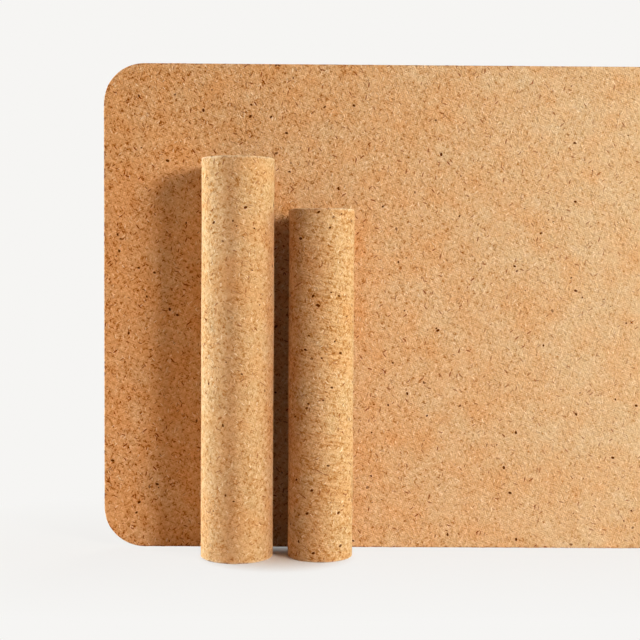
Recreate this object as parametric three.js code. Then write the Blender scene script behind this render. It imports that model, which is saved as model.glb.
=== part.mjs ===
// A set of three cork mouse pads.
// The largest stands open on its long edge. The two smaller ones stand in front of it, rolled up with
// the cork outside. Every pad is a laminate: a cork face, a carrier cloth and a grip base of rubber.
// Millimetres, +Z up, cork face of the open pad towards -Y. The origin is the middle of the footprint.
import * as THREE from "three";

// Layers of the laminate, which all three pads share
const CORK_THICKNESS = 1.0;
const CLOTH_THICKNESS = 0.3;
const BASE_THICKNESS = 0.7;
const GLUE_LINE = 0.1;

// Flat sizes: the length runs along the pad or round the roll, and the depth stands upright
const OPEN_LENGTH = 600;
const OPEN_DEPTH = 300;
const LARGE_LENGTH = 320;
const LARGE_DEPTH = 240;
const SMALL_LENGTH = 250;
const SMALL_DEPTH = 210;
const CORNER_RADIUS = 25;

// How the two smaller pads are rolled: the open core of each, and the air between two turns
const LARGE_CORE_DIAMETER = 26;
const SMALL_CORE_DIAMETER = 24;
const TURN_GAP = 0.6;

// Where the rolls stand: from the open pad's left end, from each other and from its cork face
const LARGE_ROLL_INSET = 83.5;
const ROLL_SPACING = 9;
const FACE_CLEARANCE = 0.4;

// Facets: points on a quarter of a corner, and degrees between two sections of a roll
const CORNER_STEPS = 10;
const ROLL_STEP_DEGREES = 10;

// The laminate, counted from the desk side up to the cork face
const CLOTH_LOW = BASE_THICKNESS + GLUE_LINE;
const CORK_LOW = CLOTH_LOW + CLOTH_THICKNESS + GLUE_LINE;
const PAD_THICKNESS = CORK_LOW + CORK_THICKNESS;
const NEUTRAL_HEIGHT = CLOTH_LOW + CLOTH_THICKNESS / 2;
const TURN_PITCH = PAD_THICKNESS + TURN_GAP;

const cork = new THREE.MeshStandardMaterial({ color: 0xd69c65, roughness: 0.85, metalness: 0 });
const cloth = new THREE.MeshStandardMaterial({ color: 0xcdbb98, roughness: 0.95, metalness: 0 });
const rubber = new THREE.MeshStandardMaterial({ color: 0x2b2927, roughness: 0.8, metalness: 0 });

const LAYERS = [
  { name: "cork_face", low: CORK_LOW, high: PAD_THICKNESS, material: cork },
  { name: "carrier_cloth", low: CLOTH_LOW, high: CLOTH_LOW + CLOTH_THICKNESS, material: cloth },
  { name: "grip_base", low: 0, high: BASE_THICKNESS, material: rubber },
];

// Open pad: a rectangle with round corners, extruded to the thickness of the layer
function padOutline(length, depth) {
  const right = length / 2 - CORNER_RADIUS;
  const top = depth - CORNER_RADIUS;
  const quarter = Math.PI / 2;
  const outline = new THREE.Shape();
  outline.absarc(right, CORNER_RADIUS, CORNER_RADIUS, -quarter, 0);
  outline.absarc(right, top, CORNER_RADIUS, 0, quarter);
  outline.absarc(-right, top, CORNER_RADIUS, quarter, 2 * quarter);
  outline.absarc(-right, CORNER_RADIUS, CORNER_RADIUS, 2 * quarter, 3 * quarter);
  return outline;
}

function flatLayer(length, depth, layer) {
  const geometry = new THREE.ExtrudeGeometry(padOutline(length, depth), {
    depth: layer.high - layer.low,
    curveSegments: CORNER_STEPS / 2,
    bevelEnabled: false,
  });
  return geometry.translate(0, 0, layer.low).rotateX(Math.PI / 2);
}

// Rolled pad: the flat sheet follows a spiral that widens by one pitch a turn.
// The carrier cloth doesn't stretch, so its middle keeps the flat length of the pad.
function spiralOf(length, depth, coreDiameter) {
  const coreRadius = coreDiameter / 2;
  const start = coreRadius + NEUTRAL_HEIGHT;
  const growth = TURN_PITCH / (2 * Math.PI);
  const angleAt = (along) => (Math.sqrt(start ** 2 + 2 * growth * along) - start) / growth;
  const alongAt = (angle) => start * angle + (growth * angle ** 2) / 2;
  const radiusAt = (angle, height) => coreRadius + height + growth * angle;
  const endAngle = angleAt(length);
  return { length, depth, angleAt, alongAt, radiusAt, endAngle, endRadius: radiusAt(endAngle, PAD_THICKNESS) };
}

// Half of the roll's width, seen along the line through its axis and its outer end
function rollHalfWidth(spiral) {
  return spiral.endRadius - TURN_PITCH / 2;
}

// Places along the sheet where a section stands: close together on the round corners, even between them
function sectionPlaces(spiral) {
  const corner = [];
  for (let step = 0; step <= CORNER_STEPS; step++) {
    corner.push(CORNER_RADIUS * (1 - Math.cos((step / CORNER_STEPS) * (Math.PI / 2))));
  }
  const first = spiral.angleAt(CORNER_RADIUS);
  const last = spiral.angleAt(spiral.length - CORNER_RADIUS);
  const count = Math.ceil((last - first) / THREE.MathUtils.degToRad(ROLL_STEP_DEGREES));
  const wound = [];
  for (let step = 1; step < count; step++) {
    wound.push(spiral.alongAt(first + ((last - first) * step) / count));
  }
  return [...corner, ...wound, ...corner.map((along) => spiral.length - along).reverse()];
}

// How much the round corner takes off the sheet's edge at this place
function cornerTrim(spiral, along) {
  const toEnd = Math.min(along, spiral.length - along);
  const inside = Math.max(CORNER_RADIUS - toEnd, 0);
  return CORNER_RADIUS - Math.sqrt(CORNER_RADIUS ** 2 - inside ** 2);
}

function rolledLayer(spiral, layer) {
  const positions = [];
  const places = sectionPlaces(spiral);
  for (const along of places) {
    const angle = spiral.angleAt(along);
    const bottom = cornerTrim(spiral, along);
    const top = spiral.depth - bottom;
    const section = [[layer.low, bottom], [layer.high, bottom], [layer.high, top], [layer.low, top]];
    for (const [height, level] of section) {
      const radius = spiral.radiusAt(angle, height);
      positions.push(radius * Math.cos(angle), radius * Math.sin(angle), level);
    }
  }
  return loftedSections(positions, places.length);
}

// Joins four-cornered sections, one after another, into a closed body
function loftedSections(positions, sections) {
  const corners = 4;
  const faces = [0, 1, 2, 0, 2, 3];
  for (let section = 0; section < sections - 1; section++) {
    for (let corner = 0; corner < corners; corner++) {
      const a = section * corners + corner;
      const b = section * corners + ((corner + 1) % corners);
      faces.push(a, a + corners, b + corners, a, b + corners, b);
    }
  }
  const end = (sections - 1) * corners;
  faces.push(end, end + 2, end + 1, end, end + 3, end + 2);
  const geometry = new THREE.BufferGeometry();
  geometry.setAttribute("position", new THREE.Float32BufferAttribute(positions, 3));
  geometry.setIndex(faces);
  geometry.computeVertexNormals();
  return geometry;
}

// Least air between two turns, measured from each section's cork face to the desk side of the next turn
function leastTurnGap(spiral) {
  const inner = [];
  const outer = [];
  for (const along of sectionPlaces(spiral)) {
    const angle = spiral.angleAt(along);
    const towards = new THREE.Vector2(Math.cos(angle), Math.sin(angle));
    inner.push({ angle, point: towards.clone().multiplyScalar(spiral.radiusAt(angle, 0)) });
    outer.push({ angle, point: towards.clone().multiplyScalar(spiral.radiusAt(angle, PAD_THICKNESS)) });
  }
  let least = Infinity;
  for (const below of outer) {
    for (const above of inner) {
      if (above.angle - below.angle > Math.PI) least = Math.min(least, below.point.distanceTo(above.point));
    }
  }
  return least;
}

// One pad as a group of its three layers
function padOf(name, layerGeometry) {
  const pad = new THREE.Group();
  for (const layer of LAYERS) {
    const mesh = new THREE.Mesh(layerGeometry(layer), layer.material);
    mesh.name = `${name}_${layer.name}`;
    pad.add(mesh);
  }
  return pad;
}

// A rolled pad is turned so that its outer end lies at the back, where the open pad hides it
function rolledPad(name, spiral) {
  const pad = padOf(name, (layer) => rolledLayer(spiral, layer));
  pad.rotation.z = Math.PI / 2 - spiral.endAngle;
  console.log(`${name}: least gap between turns ${leastTurnGap(spiral).toFixed(2)} mm`);
  return pad;
}

const largeSpiral = spiralOf(LARGE_LENGTH, LARGE_DEPTH, LARGE_CORE_DIAMETER);
const smallSpiral = spiralOf(SMALL_LENGTH, SMALL_DEPTH, SMALL_CORE_DIAMETER);
const openPad = padOf("open_pad", (layer) => flatLayer(OPEN_LENGTH, OPEN_DEPTH, layer));
const largeRoll = rolledPad("large_roll", largeSpiral);
const smallRoll = rolledPad("small_roll", smallSpiral);

// The footprint runs from the back of the open pad to the front of the thicker roll
const rollDepth = Math.max(...[largeSpiral, smallSpiral].map((s) => 2 * s.endRadius - TURN_PITCH / 2));
const back = (PAD_THICKNESS + FACE_CLEARANCE + rollDepth) / 2;
const face = back - PAD_THICKNESS;
const largeX = LARGE_ROLL_INSET - OPEN_LENGTH / 2;
const smallX = largeX + rollHalfWidth(largeSpiral) + ROLL_SPACING + rollHalfWidth(smallSpiral);
openPad.position.set(0, back, 0);
largeRoll.position.set(largeX, face - FACE_CLEARANCE - largeSpiral.endRadius, 0);
smallRoll.position.set(smallX, face - FACE_CLEARANCE - smallSpiral.endRadius, 0);

const mousePads = new THREE.Group();
mousePads.add(openPad, largeRoll, smallRoll);

export default mousePads;
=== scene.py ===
import math

import bmesh
import bpy
from mathutils import Matrix, Vector, noise


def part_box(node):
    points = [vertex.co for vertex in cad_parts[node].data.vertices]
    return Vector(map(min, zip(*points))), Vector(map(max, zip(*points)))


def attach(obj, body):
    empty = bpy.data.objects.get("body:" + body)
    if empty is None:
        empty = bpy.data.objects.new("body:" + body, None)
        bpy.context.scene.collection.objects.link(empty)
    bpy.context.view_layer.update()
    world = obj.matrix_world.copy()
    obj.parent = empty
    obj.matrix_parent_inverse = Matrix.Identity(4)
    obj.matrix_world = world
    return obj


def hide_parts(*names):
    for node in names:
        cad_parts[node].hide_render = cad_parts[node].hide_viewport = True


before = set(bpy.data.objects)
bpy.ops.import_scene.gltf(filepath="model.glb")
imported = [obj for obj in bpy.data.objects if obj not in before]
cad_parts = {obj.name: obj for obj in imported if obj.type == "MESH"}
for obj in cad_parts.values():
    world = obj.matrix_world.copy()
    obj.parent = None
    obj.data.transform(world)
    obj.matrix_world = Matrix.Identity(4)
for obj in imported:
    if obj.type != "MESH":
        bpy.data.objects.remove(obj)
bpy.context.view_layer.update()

# The pads as they are cut and wound, in metres
CORNER_RADIUS = 0.025
LARGE_LENGTH = 0.320
LARGE_CORE_DIAMETER = 0.026
SMALL_LENGTH = 0.250
SMALL_CORE_DIAMETER = 0.024
TURN_GAP = 0.0006

# Where the sheets of each rolled pad are cut from their endless patterns, in metres
LARGE_CUT = (1.0, 0.3, 0.0)
SMALL_CUT = (2.0, 0.7, 0.0)

# How fine the sheets are: metres between two rows of points, and facets across an eased edge
CORK_CELL = 0.0016
HIDDEN_CELL = 0.0030
ARRIS_SEGMENTS = 3

# How faces are told apart: a height in metres, the z of a normal, and the angle where shading breaks
SAME_HEIGHT = 1e-6
FACING_UP = 0.5
SHARP_ANGLE = math.radians(40)

# Wear and unevenness, in metres. The loss is how far an edge is worn back, counted in crumbles.
ARRIS = 0.00070
EDGE_BAND = 2 * ARRIS
CRUMBLE = 0.00016
CRUMBLE_LENGTH = 0.0022
CRUMBLE_SWELL = 5 * CRUMBLE_LENGTH
CRUMBLE_LOSS = 0.6
RELIEF = 0.00005
RELIEF_LENGTH = 0.0045
WANDER = 0.00020
WANDER_LENGTH = 0.060

FLAT_PLACE = "flat_place"
BODY = "root"


# Pads: where a place on the flat sheet lies in the frame

class OpenPad:
    """The pad that stands open on its long edge."""

    name = "open_pad"
    sheet_offset = Vector((0.0, 0.0, 0.0))

    def __init__(self):
        low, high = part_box("open_pad_cork_face")
        self.length = high.x - low.x
        self.depth = high.z - low.z
        self.left = low.x
        self.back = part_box("open_pad_grip_base")[1].y

    def layer(self, layer_name):
        """Lowest and highest point of a layer, counted from the desk side of the pad."""
        low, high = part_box(f"{self.name}_{layer_name}")
        return self.back - high.y, self.back - low.y

    def place(self, flat):
        return Vector((self.left + flat.x, self.back - flat.z, flat.y))


class RolledPad:
    """A smaller pad, rolled up round an open core with the cork outside and its outer end at the back."""

    def __init__(self, name, length, core_diameter, sheet_offset, open_pad):
        low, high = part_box(f"{name}_cork_face")
        cloth_low, cloth_high = open_pad.layer("carrier_cloth")
        thickness = open_pad.layer("cork_face")[1]
        pitch = thickness + TURN_GAP
        self.name = name
        self.length = length
        self.depth = high.z - low.z
        self.layer = open_pad.layer
        self.sheet_offset = Vector(sheet_offset)
        self.core_radius = core_diameter / 2
        self.neutral_radius = self.core_radius + (cloth_low + cloth_high) / 2
        self.growth = pitch / (2 * math.pi)
        self.end_angle = self.angle_at(length)
        self.end_radius = self.core_radius + thickness + self.growth * self.end_angle
        self.axis = Vector(((low.x + high.x) / 2 - pitch / 4, high.y - self.end_radius, 0.0))

    def angle_at(self, along):
        start = self.neutral_radius
        return (math.sqrt(start ** 2 + 2 * self.growth * along) - start) / self.growth

    def place(self, flat):
        angle = self.angle_at(flat.x)
        radius = self.core_radius + flat.z + self.growth * angle
        radius += WANDER * noise.noise((flat + self.sheet_offset) / WANDER_LENGTH)
        turned = angle - self.end_angle + math.pi / 2
        return self.axis + Vector((radius * math.cos(turned), radius * math.sin(turned), flat.y))


# Sheets: flat at first, then laid in place.
# On the flat sheet x runs along the pad, y up its depth, and z from the desk side to the cork.

def corner_centre(flat, pad):
    """The nearest place that lies a corner radius inside the pad's outline."""
    return Vector((
        min(max(flat.x, CORNER_RADIUS), pad.length - CORNER_RADIUS),
        min(max(flat.y, CORNER_RADIUS), pad.depth - CORNER_RADIUS),
        flat.z,
    ))


def rounded(flat, pad):
    """Moves a point of a square-cornered grid so that the grid's corners become round."""
    centre = corner_centre(flat, pad)
    out = flat - centre
    if not (out.x and out.y):
        return flat
    return centre + out * (max(abs(out.x), abs(out.y)) / out.length)


def outline_normal(flat, pad):
    """Direction out of the outline at a place near it."""
    return (flat - corner_centre(flat, pad)).normalized()


def inside_by(flat, pad):
    """How far a place lies inside the pad's outline."""
    to_side = min(flat.x, pad.length - flat.x)
    to_end = min(flat.y, pad.depth - flat.y)
    if to_side < CORNER_RADIUS and to_end < CORNER_RADIUS:
        return CORNER_RADIUS - math.hypot(CORNER_RADIUS - to_side, CORNER_RADIUS - to_end)
    return min(to_side, to_end)


def flat_sheet(pad, height, cell):
    """One face of a layer: a grid with round corners at this height."""
    mesh = bmesh.new()
    columns = round(pad.length / cell)
    rows = round(pad.depth / cell)
    bmesh.ops.create_grid(mesh, x_segments=columns, y_segments=rows, size=0.5)
    bmesh.ops.scale(mesh, vec=(pad.length, pad.depth, 1.0), verts=mesh.verts)
    bmesh.ops.translate(mesh, vec=(pad.length / 2, pad.depth / 2, height), verts=mesh.verts)
    for vert in mesh.verts:
        vert.co = rounded(vert.co, pad)
    return mesh


def open_rim(mesh):
    return [edge for edge in mesh.edges if edge.is_boundary]


def add_thickness(mesh, low, high, backed):
    """Gives the face its edge, and a back: one plain face, or the same grid again where the sheet bends."""
    if backed:
        made = bmesh.ops.extrude_face_region(mesh, geom=mesh.faces[:])
    else:
        made = bmesh.ops.extrude_edge_only(mesh, edges=open_rim(mesh))
    moved = [item for item in made["geom"] if isinstance(item, bmesh.types.BMVert)]
    bmesh.ops.translate(mesh, vec=(0.0, 0.0, low - high), verts=moved)
    if not backed:
        bmesh.ops.contextual_create(mesh, geom=open_rim(mesh))
    bmesh.ops.recalc_face_normals(mesh, faces=mesh.faces[:])


def ease_arris(mesh, high):
    """Rounds the edge between the face and the cut side."""
    arris = []
    for edge in mesh.edges:
        normals = [face.normal.z for face in edge.link_faces]
        on_face = all(abs(vert.co.z - high) < SAME_HEIGHT for vert in edge.verts)
        if on_face and min(normals) < FACING_UP < max(normals):
            arris.append(edge)
    bmesh.ops.bevel(
        mesh, geom=arris, offset=ARRIS, segments=ARRIS_SEGMENTS, profile=0.5, affect="EDGES", material=-1
    )


def weather_cork(mesh, pad, high):
    """Crumbles the cut edge a little and makes the face slightly uneven."""
    for vert in mesh.verts:
        sheet_place = vert.co + pad.sheet_offset
        if inside_by(vert.co, pad) < EDGE_BAND:
            bite = noise.noise(sheet_place / CRUMBLE_LENGTH) + noise.noise(sheet_place / CRUMBLE_SWELL)
            vert.co += outline_normal(vert.co, pad) * CRUMBLE * (bite - CRUMBLE_LOSS)
        elif abs(vert.co.z - high) < SAME_HEIGHT:
            vert.co.z += RELIEF * noise.noise(sheet_place / RELIEF_LENGTH)


def lay(mesh, pad, name):
    """Stores each point's place on the flat sheet, then bends or stands the sheet where the pad has it."""
    flat_place = mesh.verts.layers.float_vector.new(FLAT_PLACE)
    for vert in mesh.verts:
        vert[flat_place] = vert.co + pad.sheet_offset
        vert.co = pad.place(vert.co)
    for face in mesh.faces:
        face.smooth = True
    data = bpy.data.meshes.new(name)
    mesh.to_mesh(data)
    mesh.free()
    data.set_sharp_from_angle(angle=SHARP_ANGLE)
    piece = bpy.data.objects.new(name, data)
    bpy.context.scene.collection.objects.link(piece)
    return piece


def dress(piece, node, finish):
    """Puts a finished piece in the place of its CAD node."""
    piece.data.materials.append(finish)
    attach(piece, BODY)
    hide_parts(node)
    return piece


def cork_face(pad, finish):
    low, high = pad.layer("cork_face")
    mesh = flat_sheet(pad, high, CORK_CELL)
    add_thickness(mesh, low, high, backed=isinstance(pad, RolledPad))
    ease_arris(mesh, high)
    weather_cork(mesh, pad, high)
    node = f"{pad.name}_cork_face"
    dress(lay(mesh, pad, f"{node}_sheet"), node, finish)


def hidden_layer(pad, layer_name, finish):
    low, high = pad.layer(layer_name)
    mesh = flat_sheet(pad, high, HIDDEN_CELL)
    add_thickness(mesh, low, high, backed=isinstance(pad, RolledPad))
    node = f"{pad.name}_{layer_name}"
    return dress(lay(mesh, pad, f"{node}_sheet"), node, finish)


def carrier_cloth(pad, finish):
    piece = hidden_layer(pad, "carrier_cloth", finish)
    "folded" if isinstance(pad, RolledPad) else "laid"


def grip_base(pad, finish):
    hidden_layer(pad, "grip_base", finish)


# Finishes

# How far apart two numbered patterns are cut, in metres for each step of the number
PATTERN_STEP_X = 0.37
PATTERN_STEP_Y = 0.21


class Value:
    """A socket of a node tree. Python's operators on it add Math nodes."""

    def __init__(self, finish, socket):
        self.finish = finish
        self.socket = socket

    def math(self, operation, *operands, clamp=False):
        settings = {"operation": operation, "use_clamp": clamp}
        return self.finish.node("ShaderNodeMath", settings, dict(enumerate(operands)))

    def __add__(self, other):
        return self.math("ADD", self, other)

    __radd__ = __add__

    def __sub__(self, other):
        return self.math("SUBTRACT", self, other)

    def __rsub__(self, other):
        return self.math("SUBTRACT", other, self)

    def __mul__(self, other):
        return self.math("MULTIPLY", self, other)

    __rmul__ = __mul__

    def __truediv__(self, other):
        return self.math("DIVIDE", self, other)

    def __rtruediv__(self, other):
        return self.math("DIVIDE", other, self)

    def __lt__(self, other):
        return self.math("LESS_THAN", self, other)

    def __gt__(self, other):
        return self.math("GREATER_THAN", self, other)

    def clamped(self):
        return self.math("ADD", self, 0.0, clamp=True)

    def size(self):
        return self.math("ABSOLUTE", self)

    def root(self):
        return self.math("SQRT", self)

    def sine(self):
        return self.math("SINE", self)

    def at_least(self, other):
        return self.math("MAXIMUM", self, other)

    def at_most(self, other):
        return self.math("MINIMUM", self, other)


class Finish:
    """The nodes of a material or a world: one method adds any node, and a few name the ones used most."""

    def __init__(self, owner):
        self.owner = owner
        self.owner.use_nodes = True
        self.tree = self.owner.node_tree
        self.tree.nodes.clear()

    def node(self, kind, settings=None, sockets=None, outputs=0):
        """Adds a node, sets it, fills its sockets and returns one output, or several as a list."""
        made = self.tree.nodes.new(kind)
        for name, value in (settings or {}).items():
            if name == "stops":
                set_stops(made.color_ramp, value)
            else:
                setattr(made, name, value)
        for name, value in (sockets or {}).items():
            if isinstance(value, Value):
                self.tree.links.new(value.socket, made.inputs[name])
            else:
                made.inputs[name].default_value = value
        if isinstance(outputs, (list, tuple)):
            return [Value(self, made.outputs[name]) for name in outputs]
        return Value(self, made.outputs[outputs])

    def sheet_place(self):
        return self.node("ShaderNodeAttribute", {"attribute_name": FLAT_PLACE}, outputs="Vector")

    def noise(self, place, size, detail=2.0, outputs="Fac"):
        sockets = {"Vector": place, "Scale": 1 / size, "Detail": detail}
        return self.node("ShaderNodeTexNoise", {"noise_dimensions": "3D"}, sockets, outputs)

    def shifted(self, place, size, amount):
        """The place, pushed about by a noise of this size."""
        push = self.noise(place, size, outputs="Color")
        centred = self.vector("SUBTRACT", push, (0.5, 0.5, 0.5))
        return self.vector("ADD", place, self.vector("SCALE", centred, Scale=2 * amount))

    def turned(self, place, degrees, length, width, number):
        """The place in cells of this size that are turned about z. The number moves the cells along."""
        sockets = {
            "Vector": place,
            "Location": (PATTERN_STEP_X * number, PATTERN_STEP_Y * number, 0.0),
            "Rotation": (0.0, 0.0, math.radians(degrees)),
            "Scale": (length, width, 1.0),
        }
        return self.node("ShaderNodeMapping", {"vector_type": "TEXTURE"}, sockets, "Vector")

    def vector(self, operation, first, second=None, **named):
        sockets = {0: first, **named}
        if second is not None:
            sockets[1] = second
        return self.node("ShaderNodeVectorMath", {"operation": operation}, sockets, "Vector")

    def parts(self, vector):
        return self.node("ShaderNodeSeparateXYZ", None, {0: vector}, ("X", "Y", "Z"))

    def mix(self, factor, first, second):
        """A colour between two, by a factor from 0 to 1."""
        sockets = {0: factor, 6: first, 7: second}
        return self.node("ShaderNodeMix", {"data_type": "RGBA", "clamp_factor": True}, sockets, 2)

    def ramp(self, factor, stops):
        return self.node("ShaderNodeValToRGB", {"stops": stops}, {0: factor}, "Color")

    def bump(self, height, distance):
        sockets = {"Height": height, "Distance": distance, "Strength": 1.0}
        return self.node("ShaderNodeBump", None, sockets, "Normal")

    def watched(self):
        """1 where this is seen, also in a reflection or through glass, and 0 where it only gives light."""
        rays = ("Is Camera Ray", "Is Glossy Ray", "Is Transmission Ray")
        seen, mirrored, through = self.node("ShaderNodeLightPath", outputs=rays)
        return (seen + mirrored + through).clamped()

    def surface(self, **sockets):
        """Ends the material with a principled shader."""
        named = {name.replace("_", " "): value for name, value in sockets.items()}
        shader = self.node("ShaderNodeBsdfPrincipled", None, named, "BSDF")
        self.node("ShaderNodeOutputMaterial", None, {"Surface": shader}, ())
        return self.owner


def set_stops(colour_ramp, stops):
    while len(colour_ramp.elements) < len(stops):
        colour_ramp.elements.new(1.0)
    for element, (position, colour) in zip(colour_ramp.elements, stops):
        element.position = position
        element.color = colour


def tone(red, green, blue):
    """A colour as it looks on a screen, from 0 to 255, in the linear values that shaders take."""
    def linear(level):
        share = level / 255
        return share / 12.92 if share <= 0.04045 else ((share + 0.055) / 1.055) ** 2.4
    return (linear(red), linear(green), linear(blue), 1.0)


# Cork tones: the grain from the darkest to the palest, what lies in it, and tints from straw to rust
CORK_TONES = (
    (0.00, tone(122, 61, 8)),
    (0.25, tone(172, 113, 55)),
    (0.50, tone(206, 160, 112)),
    (0.75, tone(217, 175, 132)),
    (1.00, tone(227, 191, 153)),
)
TICK_TONE = tone(130, 58, 2)
BARK_TONE = tone(92, 40, 2)
# The strands' pale tone, also painted as a highlight along the rolls' cut edges
STRAND_AND_HIGHLIGHT_TONE = tone(238, 208, 170)
STRAW_TINT = (1.0, 1.09, 1.17, 1.0)
RUST_TINT = (1.0, 0.79, 0.58, 1.0)
FUZZ_TINT = (1.0, 0.88, 0.72, 1.0)

# What the cork is made of: cells in metres, turns in degrees, and the share of cells that are filled
CHIP_LENGTH = 0.0040
CHIP_WIDTH = 0.0012
CHIP_TURNS = (24, 66, 114, 156)
STRAND_LENGTH = 0.0062
STRAND_WIDTH = 0.0016
STRAND_TURNS = (40, 85, 130)
STRAND_SHARE = 0.11
TICK_LENGTH = 0.0078
TICK_WIDTH = 0.0020
TICK_TURNS = (38, 78, 128, 162)
TICK_SHARE = 0.066
PIT_LENGTH = 0.0051
PIT_WIDTH = 0.0035
PIT_TURNS = (35, 100, 165)
CRACK_LENGTH = 0.018
CRACK_WIDTH = 0.0020
CRACK_TURNS = (27, 148)
CRACK_SHARE = 0.10
WRINKLE_LENGTH = 0.014
WRINKLE_WIDTH = 0.0016
WRINKLE_TURN = -9
WRINKLE_NUMBER = 3

# Outlines of chips and flecks, as shares of their cells, and how faint the faintest fleck is
CHIP_RADIUS = 0.45
CHIP_BLUR = 0.16
FLECK_RADIUS = 0.10
FLECK_GROWTH = 0.14
FLECK_BLUR = 0.04
FLECK_FAINTEST = 0.4

# How far the grain drifts, sizes of what changes over the sheet, the painted shade's reach and the edge
# band's width, in metres
DRIFT = 0.0002
DRIFT_SIZE = 0.0020
DUST_SIZE = 0.0007
CRUMB_SIZE = 0.0028
MOTTLE_SIZE = 0.011
BLOTCH_SIZE = 0.028
# Painted shade: how far from the open pad's left end it reaches
SHADED_END_LENGTH = 0.30
# The edge band carries crumbled wear, and on the rolls a painted highlight
EDGE_WEAR_AND_HIGHLIGHT = 0.0015

# How much each shows in the grain's tone, in the tint, as cover over the grain and in the relief
CHIP_CONTRAST = 0.30
DUST_CONTRAST = 0.36
BLOTCH_TINT = 1.1
MOTTLE_TINT = 0.8
# Painted shade: how much darker and rustier the tint gets at the open pad's left end
SHADED_END_TINT = 0.75
STRAND_COVER = 0.70
TICK_COVER = 0.36
TICK_COVER_GAIN = 0.5
PIT_COVER = 1.6
CRUMB_LEVEL = 0.54
CRUMB_CONTRAST = 8
WRINKLE_RELIEF = 4
DUST_RELIEF = 0.6
STRAND_RELIEF = 0.4
TICK_RELIEF = 0.2
PIT_RELIEF = 0.2

# The cork's surface: the depth of its relief in metres, its roughness, and the fuzz on the rolls
CORK_RELIEF_DEPTH = 0.00035
CORK_ROUGHNESS = 0.85
CORK_ROUGHNESS_RANGE = 0.2
FUZZ_ROUGHNESS = 0.30


def cells(finish, place, length, width, turn):
    """Long cells, all turned one way: the distance to a cell's middle, and its three chances."""
    turned = finish.turned(place, turn, length, width, turn)
    kind = {"voronoi_dimensions": "2D", "feature": "F1"}
    distance, chance = finish.node(
        "ShaderNodeTexVoronoi", kind, {"Vector": turned, "Scale": 1.0}, ("Distance", "Color")
    )
    return distance, finish.parts(chance)


def flecks(finish, place, length, width, turns, share):
    """Sparse single flecks, some for each turn. The share is how many cells have one."""
    cover = 0.0
    for turn in turns:
        distance, (there, girth, depth) = cells(finish, place, length, width, turn)
        inside = (girth * FLECK_GROWTH + FLECK_RADIUS - distance) / FLECK_BLUR
        strength = depth * (1 - FLECK_FAINTEST) + FLECK_FAINTEST
        cover = cover + inside.clamped() * (there < share) * strength
    return cover


def chips(finish, place):
    """Overlapping chips: how much paler than the middle tone each place is, and how much higher it lies."""
    grain = relief = 0.0
    for turn in CHIP_TURNS:
        distance, (shade, height, _) = cells(finish, place, CHIP_LENGTH, CHIP_WIDTH, turn)
        inside = ((CHIP_RADIUS - distance) / CHIP_BLUR).clamped()
        grain = grain + inside * (shade - 0.5)
        relief = relief + inside * (height - 0.5)
    return grain, relief


def at_edge(finish, place, pad):
    """1 on the pad's cut edge, falling to 0 where the edge band ends: crumbled wear, and on the rolls a
    painted highlight.
    """
    along, up, _ = finish.parts(place)
    middle = pad.sheet_offset + Vector((pad.length, pad.depth, 0.0)) / 2
    past_side = ((along - middle.x).size() - (pad.length / 2 - CORNER_RADIUS)).at_least(0.0)
    past_end = ((up - middle.y).size() - (pad.depth / 2 - CORNER_RADIUS)).at_least(0.0)
    inside = CORNER_RADIUS - (past_side * past_side + past_end * past_end).root()
    return (1 - inside / EDGE_WEAR_AND_HIGHLIGHT).clamped()


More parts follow.
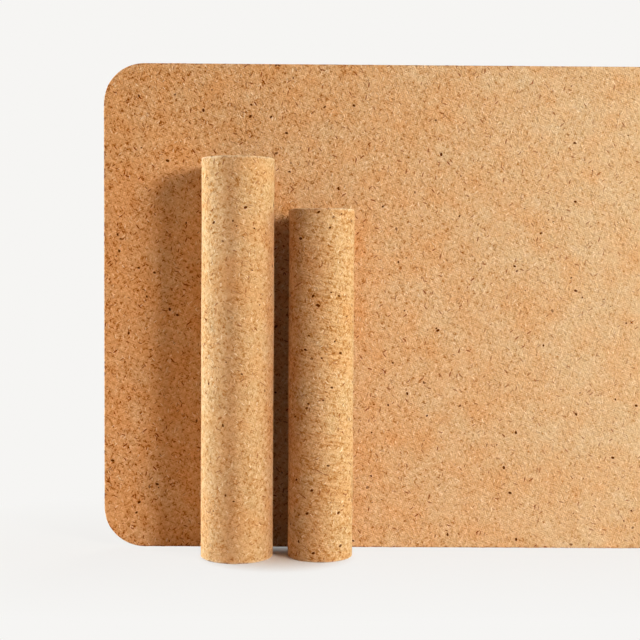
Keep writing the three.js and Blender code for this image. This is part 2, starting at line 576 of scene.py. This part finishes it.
def cork_finish(pad, middle, contrast, shaded_end_contrast, rust, pits, edge_highlight, wrinkles, fuzz):
    """Pressed cork, wrinkled on the rolls, with painted shade: more contrast and a darker, rustier tint at
    the open pad's left end.
    """
    finish = Finish(bpy.data.materials.new(f"{pad.name}_cork"))
    place = finish.sheet_place()
    worked = finish.shifted(place, DRIFT_SIZE, DRIFT)
    along, _, _ = finish.parts(place)
    # Painted shade: 1 at the open pad's left end, 0 past its reach; it adds contrast and a darker, rustier
    # tint
    shaded_end = (1 - along / SHADED_END_LENGTH).clamped()
    strength = shaded_end * shaded_end_contrast + contrast

    grain, relief = chips(finish, worked)
    dust = finish.noise(place, DUST_SIZE, detail=1.0)
    level = (grain * CHIP_CONTRAST + (dust - 0.5) * DUST_CONTRAST) * strength + middle
    strands = flecks(finish, worked, STRAND_LENGTH, STRAND_WIDTH, STRAND_TURNS, STRAND_SHARE)
    ticks = flecks(finish, worked, TICK_LENGTH, TICK_WIDTH, TICK_TURNS, TICK_SHARE)
    holes = flecks(finish, worked, PIT_LENGTH, PIT_WIDTH, PIT_TURNS, pits)
    edge = at_edge(finish, place, pad)
    crumbs = finish.noise(place, CRUMB_SIZE, detail=1.0)
    ticks = ticks + edge * ((crumbs - CRUMB_LEVEL) * CRUMB_CONTRAST).clamped()
    if wrinkles:
        stretched = finish.turned(worked, WRINKLE_TURN, WRINKLE_LENGTH, WRINKLE_WIDTH, WRINKLE_NUMBER)
        wrinkle = finish.noise(stretched, 1.0, detail=1.0) - 0.5
        # Painted shade: the wrinkles' grooves are darker and their ridges paler, along with their relief
        level = level + wrinkle * wrinkles
        relief = relief + wrinkle * (WRINKLE_RELIEF * wrinkles)
        share = CRACK_SHARE * wrinkles
        ticks = ticks + flecks(finish, place, CRACK_LENGTH, CRACK_WIDTH, CRACK_TURNS, share)

    blotch = finish.noise(place, BLOTCH_SIZE)
    mottle = finish.noise(place, MOTTLE_SIZE)
    # The tint holds real blotches and mottle, each pad's rust, and the painted shade at the open pad's left
    # end
    tint = (blotch - 0.5) * BLOTCH_TINT + (mottle - 0.5) * MOTTLE_TINT + shaded_end * SHADED_END_TINT + rust
    colour = finish.ramp(level, CORK_TONES)
    colour = finish.vector("MULTIPLY", colour, finish.mix(tint, STRAW_TINT, RUST_TINT))
    # Pale strands, and a painted highlight along the rolls' cut edges
    colour = finish.mix(strands * STRAND_COVER + edge * edge_highlight, colour, STRAND_AND_HIGHLIGHT_TONE)
    colour = finish.mix(ticks * (strength * TICK_COVER_GAIN + TICK_COVER), colour, TICK_TONE)
    colour = finish.mix(holes * PIT_COVER, colour, BARK_TONE)

    height = relief + dust * DUST_RELIEF + strands * STRAND_RELIEF
    height = height - ticks * TICK_RELIEF - holes * PIT_RELIEF
    return finish.surface(
        Base_Color=colour,
        Roughness=CORK_ROUGHNESS + (dust - 0.5) * CORK_ROUGHNESS_RANGE,
        Specular_IOR_Level=0.0,
        Sheen_Weight=fuzz,
        Sheen_Roughness=FUZZ_ROUGHNESS,
        Sheen_Tint=FUZZ_TINT,
        Normal=finish.bump(height, CORK_RELIEF_DEPTH),
    )


# Cotton: a plain weave with a little fluff, with sizes in metres
THREAD_WIDTH = 0.0007
WEAVE_DEPTH = 0.0001
FLUFF_SIZE = 0.002
COTTON_SHADED = tone(188, 168, 132)
COTTON_PALE = tone(226, 210, 178)
COTTON_ROUGHNESS = 0.9
COTTON_ROUGHNESS_RANGE = 0.05
WEAVE_CONTRAST = 0.3
FLUFF_CONTRAST = 0.5


def cloth_finish():
    finish = Finish(bpy.data.materials.new("carrier_cotton"))
    place = finish.sheet_place()
    along, up, _ = finish.parts(place)
    thread = math.pi / THREAD_WIDTH
    weave = (along * thread).sine() * (up * thread).sine()
    fluff = finish.noise(place, FLUFF_SIZE)
    return finish.surface(
        Base_Color=finish.mix(weave * WEAVE_CONTRAST + fluff * FLUFF_CONTRAST, COTTON_SHADED, COTTON_PALE),
        Roughness=COTTON_ROUGHNESS + fluff * COTTON_ROUGHNESS_RANGE,
        Normal=finish.bump(weave, WEAVE_DEPTH),
    )


# Rubber: a diamond pattern, dust and slow patches, with sizes in metres
DIAMOND_PITCH = 0.0060
DIAMOND_DEPTH = 0.0009
RUBBER_DUST_SIZE = 0.0008
PATCH_SIZE = 0.05
RUBBER_DETAIL = 3.0
RUBBER_PALE = tone(62, 60, 57)
RUBBER_DARK = tone(30, 29, 28)
RUBBER_ROUGHNESS = 0.70
RUBBER_ROUGHNESS_RANGE = 0.3
RUBBER_DUST_CONTRAST = 0.4
PATCH_CONTRAST = 0.9
DIAMOND_CONTRAST = 0.5
RUBBER_DUST_RELIEF = 0.15


def rubber_finish():
    finish = Finish(bpy.data.materials.new("grip_rubber"))
    place = finish.sheet_place()
    along, up, _ = finish.parts(place)
    ridge = math.pi / DIAMOND_PITCH
    rising = ((along + up) * ridge).sine().size()
    falling = ((along - up) * ridge).sine().size()
    emboss = rising.at_most(falling)
    dust = finish.noise(place, RUBBER_DUST_SIZE, RUBBER_DETAIL)
    patch = finish.noise(place, PATCH_SIZE, RUBBER_DETAIL)
    darkness = dust * RUBBER_DUST_CONTRAST + patch * PATCH_CONTRAST - emboss * DIAMOND_CONTRAST
    return finish.surface(
        Base_Color=finish.mix(darkness, RUBBER_PALE, RUBBER_DARK),
        Roughness=RUBBER_ROUGHNESS + (patch - 0.5) * RUBBER_ROUGHNESS_RANGE,
        Normal=finish.bump(emboss + dust * RUBBER_DUST_RELIEF, DIAMOND_DEPTH),
    )


# Stage: floor and backdrop, with sizes in metres.
# The floor is plain white far off, mostly white near the pads, and fully shaded between the rolls.
BACKDROP = tone(246, 245, 243)
FLOOR_TONE = tone(244, 245, 246)
FLOOR_SEEN_TONE = tone(238, 233, 227)
FLOOR_RADIUS = 8.0
FLOOR_SEGMENTS = 64
SHADOW_REACH = 0.16
NEAR_WHITE = 0.88
BETWEEN_ROLLS = 0.008
BETWEEN_ROLLS_FADE = 0.05

# Light from all round, and the lamps: places and sizes in metres, power in watts
FILL_TONE = (1.0, 0.82, 0.67, 1.0)
FILL_STRENGTH = 0.325
WHITE_LIGHT = (1.0, 1.0, 1.0)
RIM_LIGHT = (0.67, 0.86, 1.0)
SIDE_LIGHT = (0.50, 0.92, 1.0)
KEY_LAMP = {
    "place": (1.74, -1.52, 0.90),
    "target": (0.29, 0.0, 0.30),
    "size": (1.3, 1.3),
    "power": 5.35,
    "colour": WHITE_LIGHT,
    "spread": math.radians(34),
}
BACK_LAMP = {
    "place": (0.1, 0.90, 0.50),
    "target": (0.0, 0.0, 0.15),
    "size": (0.60, 0.60),
    "power": 8.0,
    "colour": WHITE_LIGHT,
}
RIM_LAMP = {
    "place": (-1.1, 0.13, 0.24),
    "target": (-0.25, 0.0, 0.15),
    "size": (0.20, 0.40),
    "power": 23.0,
    "colour": RIM_LIGHT,
}
SIDE_LAMP = {
    "place": (0.83, -0.09, 0.30),
    "target": (-0.17, 0.0, 0.12),
    "size": (0.40, 0.40),
    "power": 8.2,
    "colour": SIDE_LIGHT,
}

# Camera: its place in metres, its turns, and its focal length in pixels of a square frame
CAMERA_PLACE = (-0.1729, -0.7495, 0.1780)
CAMERA_PITCH = math.radians(2.64)
CAMERA_YAW = math.radians(0.51)
CAMERA_ROLL = math.radians(0.36)
CAMERA_NEAREST = 0.01
FOCAL_PIXELS = 1243
FRAME_PIXELS = 640


def floor_finish(open_pad, rolls):
    """White that keeps the shadows close to the pads and is the backdrop's white further off."""
    finish = Finish(bpy.data.materials.new("white_floor"))
    x, y, _ = finish.parts(finish.node("ShaderNodeTexCoord", outputs="Object"))
    beside = (x.size() - open_pad.length / 2).at_least(0.0)
    before = y - open_pad.back
    away = (beside * beside + before * before).root()
    plain = (away / SHADOW_REACH).clamped() * (1 - NEAR_WHITE) + NEAR_WHITE
    from_rolls = 0.0
    for roll in rolls:
        aside = x - roll.axis.x
        ahead = y - roll.axis.y
        from_rolls = from_rolls + (aside * aside + ahead * ahead).root() - roll.end_radius
    plain = plain.at_most(((from_rolls - BETWEEN_ROLLS) / BETWEEN_ROLLS_FADE).clamped())
    watched = finish.watched()
    pale = finish.mix(watched, FLOOR_TONE, FLOOR_SEEN_TONE)
    lit = finish.node("ShaderNodeBsdfDiffuse", None, {"Color": pale})
    white = finish.node("ShaderNodeEmission", None, {"Color": BACKDROP, "Strength": 1.0})
    both = finish.node("ShaderNodeMixShader", None, {0: watched * plain, 1: lit, 2: white})
    finish.node("ShaderNodeOutputMaterial", None, {"Surface": both}, ())
    return finish.owner


def floor(open_pad, rolls):
    mesh = bmesh.new()
    bmesh.ops.create_circle(mesh, cap_ends=True, segments=FLOOR_SEGMENTS, radius=FLOOR_RADIUS)
    data = bpy.data.meshes.new("floor")
    mesh.to_mesh(data)
    mesh.free()
    data.materials.append(floor_finish(open_pad, rolls))
    piece = bpy.data.objects.new("floor", data)
    bpy.context.scene.collection.objects.link(piece)
    return piece


def surroundings():
    """White all round: the backdrop's white where it is seen, and a softer, warmer level as light."""
    studio = Finish(bpy.data.worlds.new("studio"))
    fill = studio.node("ShaderNodeBackground", None, {"Color": FILL_TONE, "Strength": FILL_STRENGTH})
    white = studio.node("ShaderNodeBackground", None, {"Color": BACKDROP, "Strength": 1.0})
    both = studio.node("ShaderNodeMixShader", None, {0: studio.watched(), 1: fill, 2: white})
    studio.node("ShaderNodeOutputWorld", None, {"Surface": both}, ())
    bpy.context.scene.world = studio.owner


def soft_box(name, place, target, size, power, colour, spread=math.pi):
    light = bpy.data.lights.new(name, "AREA")
    light.shape = "ELLIPSE"
    light.size, light.size_y = size
    light.spread = spread
    light.energy = power
    light.color = colour
    lamp = bpy.data.objects.new(name, light)
    lamp.location = place
    lamp.rotation_euler = (Vector(target) - Vector(place)).to_track_quat("-Z", "Y").to_euler()
    lamp.visible_camera = False
    bpy.context.scene.collection.objects.link(lamp)
    return lamp


def keep_off(lamp, piece):
    """Flags a lamp, so that its light doesn't fall on this piece."""
    flagged = bpy.data.collections.new(f"flag_{lamp.name}")
    flagged.objects.link(piece)
    flagged.collection_objects[0].light_linking.link_state = "EXCLUDE"
    lamp.light_linking.receiver_collection = flagged


def camera():
    data = bpy.data.cameras.new("camera")
    data.lens = data.sensor_width * FOCAL_PIXELS / FRAME_PIXELS
    data.clip_start = CAMERA_NEAREST
    viewer = bpy.data.objects.new("camera", data)
    viewer.matrix_world = (
        Matrix.Translation(CAMERA_PLACE)
        @ Matrix.Rotation(-CAMERA_YAW, 4, "Z")
        @ Matrix.Rotation(math.pi / 2 - CAMERA_PITCH, 4, "X")
        @ Matrix.Rotation(CAMERA_ROLL, 4, "Z")
    )
    bpy.context.scene.collection.objects.link(viewer)
    bpy.context.scene.camera = viewer


camera()
open_pad = OpenPad()
large_roll = RolledPad("large_roll", LARGE_LENGTH, LARGE_CORE_DIAMETER, LARGE_CUT, open_pad)
small_roll = RolledPad("small_roll", SMALL_LENGTH, SMALL_CORE_DIAMETER, SMALL_CUT, open_pad)
cotton = cloth_finish()
rubber = rubber_finish()
# The open pad's extra contrast at its left end goes with the painted shade there
flat_cork = cork_finish(
    open_pad, middle=0.58, contrast=0.84, shaded_end_contrast=0.90, rust=0.20, pits=0.007, edge_highlight=0.0, wrinkles=0.0,
    fuzz=0.0,
)
# The rolls' edge setting paints a highlight along their cut edges
wound_cork = cork_finish(
    large_roll, middle=0.46, contrast=0.84, shaded_end_contrast=0.0, rust=0.42, pits=0.014, edge_highlight=0.5, wrinkles=0.10,
    fuzz=0.20,
)
streaked_cork = cork_finish(
    small_roll, middle=0.43, contrast=0.84, shaded_end_contrast=0.0, rust=0.38, pits=0.026, edge_highlight=0.4, wrinkles=0.38,
    fuzz=0.16,
)
cork_face(open_pad, flat_cork)
cork_face(large_roll, wound_cork)
cork_face(small_roll, streaked_cork)
for pad in (open_pad, large_roll, small_roll):
    carrier_cloth(pad, cotton)
    grip_base(pad, rubber)

ground = floor(open_pad, (large_roll, small_roll))
surroundings()
soft_box("key", **KEY_LAMP)
soft_box("back", **BACK_LAMP)
for lamp in (soft_box("rim", **RIM_LAMP), soft_box("side", **SIDE_LAMP)):
    keep_off(lamp, ground)
bpy.context.scene.view_settings.view_transform = "Standard"
